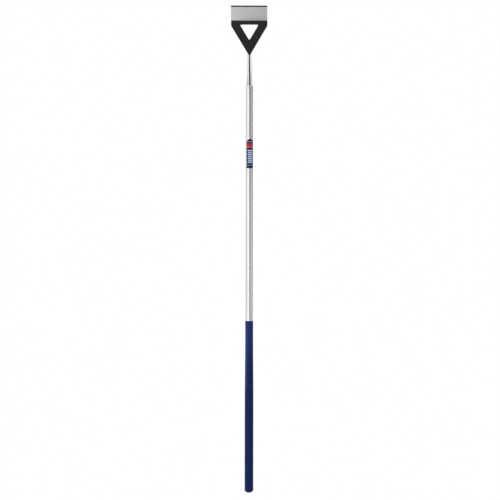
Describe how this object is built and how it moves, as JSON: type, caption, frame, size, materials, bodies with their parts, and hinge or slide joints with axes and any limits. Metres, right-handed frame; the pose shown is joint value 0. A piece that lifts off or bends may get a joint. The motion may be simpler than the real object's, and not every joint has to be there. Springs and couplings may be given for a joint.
{
  "type": "dutch hoe",
  "caption": "Long-handled push hoe: a cranked steel blade on a black triangular frame, a tapered swan neck, a tube shaft and a sleeve grip with a domed end.",
  "frame": {"origin": "tip of the grip's domed end, on the shaft's axis", "axes": "+Z along the shaft towards the blade, -Y the face that the picture shows, to which the blade leans, +X to the right in that view"},
  "size_m": [0.127, 0.0912, 1.7042],
  "materials": {
    "blade_steel": "satin, ground across",
    "frame_coating": "fine-textured black powder coat",
    "neck_polish": "polished",
    "shaft_metal": "satin anodised",
    "rivet_metal": "satin",
    "label_film": "gloss print film",
    "bush_nylon": "natural nylon",
    "grip_vinyl": "semi-matte dip-moulded vinyl"
  },
  "bodies": {
    "root": {"cutting_blade": "blade_steel", "head_frame": "frame_coating", "blade_rivets": "frame_coating", "neck": "neck_polish", "neck_weld": "frame_coating", "tail_bush": "bush_nylon", "shaft_tube": "shaft_metal", "shaft_rivet": "rivet_metal", "shaft_label": "label_film", "grip_sleeve": "grip_vinyl", "end_cap": "grip_vinyl"}
  },
  "joints": []
}
